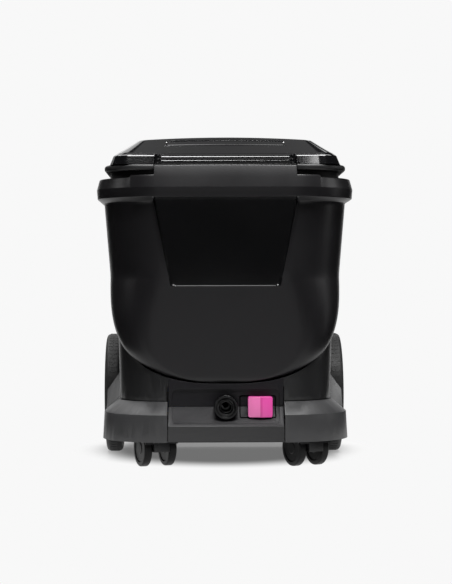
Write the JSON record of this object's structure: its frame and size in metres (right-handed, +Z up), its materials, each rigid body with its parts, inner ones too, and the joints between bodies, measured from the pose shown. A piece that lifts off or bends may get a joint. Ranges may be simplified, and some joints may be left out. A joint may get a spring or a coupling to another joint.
{
  "type": "portable pressure washer",
  "caption": "Wheeled battery pressure washer: tub tank with lift-off lid in a skirted base, front outlet coupler and slide switch, swivel casters and large rear wheels.",
  "frame": {"origin": "on the floor, under the middle of the object's box", "axes": "+Z up, the control panel faces -Y, +X to the right seen from the front"},
  "size_m": [0.354, 0.368, 0.448],
  "materials": {
    "tank_plastic": "blow-moulded black plastic, fine satin grain",
    "lid_gloss": "high-gloss black moulding",
    "lid_matte": "fine-grained black moulding",
    "base_plastic": "charcoal moulding, satin",
    "cradle_plastic": "dark satin moulding",
    "panel_plastic": "black satin moulding",
    "coupler_plastic": "black glass-filled moulding",
    "switch_pink": "pink moulding, soft gloss",
    "nylon": "natural white nylon",
    "seal_rubber": "soft black rubber",
    "wheel_rubber": "black rubber, matte",
    "caster_tread": "black wheel tread",
    "wheel_plastic": "black moulding, satin",
    "steel": "zinc-plated steel",
    "motor_can": "dark painted steel",
    "pump_alloy": "die-cast alloy",
    "inner_plastic": "plain black moulding",
    "battery_wrap": "shrink-wrapped cell pack",
    "board_laminate": "green laminate with black parts",
    "standoff_brass": "turned brass",
    "hose_rubber": "black reinforced hose"
  },
  "bodies": {
    "chassis": {"tank": "tank_plastic", "base_shell": "base_plastic", "base_plate": "base_plastic", "cradle": "cradle_plastic", "front_panel_upper": "panel_plastic", "front_panel_lower": "panel_plastic", "outlet_coupler": "coupler_plastic", "outlet_ring": "coupler_plastic", "charge_socket": "coupler_plastic", "charge_socket_nut": "coupler_plastic", "caster_sockets": "nylon", "tank_fitting": "nylon", "fitting_nut": "nylon", "outlet_seal": "seal_rubber", "fitting_seal": "seal_rubber", "pump_feet": "seal_rubber", "rear_axle": "steel", "axle_retainers": "steel", "base_screws": "steel", "cradle_screws": "steel", "tank_screws": "steel", "panel_screws": "steel", "pump_motor": "motor_can", "pump_bracket": "motor_can", "pump_head": "pump_alloy", "battery_tray": "inner_plastic", "switch_module": "inner_plastic", "axle_brackets": "inner_plastic", "inlet_filter": "inner_plastic", "battery_pack": "battery_wrap", "control_board": "board_laminate", "board_standoffs": "standoff_brass", "suction_hose": "hose_rubber", "pressure_hose": "hose_rubber"},
    "lid": {"lid_cover": "lid_gloss", "lid_pan": "lid_matte", "lid_plug": "lid_matte", "lid_gasket": "seal_rubber", "lid_screws": "steel"},
    "switch": {"switch_slider": "switch_pink", "switch_shoe": "nylon"},
    "rear_wheel_left": {"rear_tyre_left": "wheel_rubber", "rear_rim_left": "wheel_plastic", "hub_bush_left": "nylon", "hub_cap_left": "wheel_plastic"},
    "rear_wheel_right": {"rear_tyre_right": "wheel_rubber", "rear_rim_right": "wheel_plastic", "hub_bush_right": "nylon", "hub_cap_right": "wheel_plastic"},
    "caster_left": {"caster_hood_left": "wheel_plastic", "caster_stem_left": "steel", "caster_axle_left": "steel"},
    "caster_wheel_left_near": {"caster_wheel_left_near": "caster_tread"},
    "caster_wheel_left_far": {"caster_wheel_left_far": "caster_tread"},
    "caster_right": {"caster_hood_right": "wheel_plastic", "caster_stem_right": "steel", "caster_axle_right": "steel"},
    "caster_wheel_right_near": {"caster_wheel_right_near": "caster_tread"},
    "caster_wheel_right_far": {"caster_wheel_right_far": "caster_tread"}
  },
  "joints": [
    {"name": "lid_lift", "type": "slide", "parent": "chassis", "child": "lid", "axis": [0, 0, 1], "range_m": [0, 0.15]},
    {"name": "switch_slide", "type": "slide", "parent": "chassis", "child": "switch", "axis": [1, 0, 0], "range_m": [-0.0105, 0]},
    {"name": "rear_wheel_left_roll", "type": "hinge", "parent": "chassis", "child": "rear_wheel_left", "pos_m": [-0.1635, 0.0965, 0.0875], "axis": [1, 0, 0], "continuous": true},
    {"name": "rear_wheel_right_roll", "type": "hinge", "parent": "chassis", "child": "rear_wheel_right", "pos_m": [0.1635, 0.0965, 0.0875], "axis": [1, 0, 0], "continuous": true},
    {"name": "caster_left_swivel", "type": "hinge", "parent": "chassis", "child": "caster_left", "pos_m": [-0.102, -0.11, 0.056], "axis": [0, 0, 1], "continuous": true},
    {"name": "caster_wheel_left_near_roll", "type": "hinge", "parent": "caster_left", "child": "caster_wheel_left_near", "pos_m": [-0.09645, -0.12447, 0.025], "axis": [0.9336, 0.3584, 0], "continuous": true},
    {"name": "caster_wheel_left_far_roll", "type": "hinge", "parent": "caster_left", "child": "caster_wheel_left_far", "pos_m": [-0.09645, -0.12447, 0.025], "axis": [0.9336, 0.3584, 0], "continuous": true},
    {"name": "caster_right_swivel", "type": "hinge", "parent": "chassis", "child": "caster_right", "pos_m": [0.102, -0.11, 0.056], "axis": [0, 0, 1], "continuous": true},
    {"name": "caster_wheel_right_near_roll", "type": "hinge", "parent": "caster_right", "child": "caster_wheel_right_near", "pos_m": [0.10904, -0.12381, 0.025], "axis": [0.891, 0.454, 0], "continuous": true},
    {"name": "caster_wheel_right_far_roll", "type": "hinge", "parent": "caster_right", "child": "caster_wheel_right_far", "pos_m": [0.10904, -0.12381, 0.025], "axis": [0.891, 0.454, 0], "continuous": true}
  ]
}
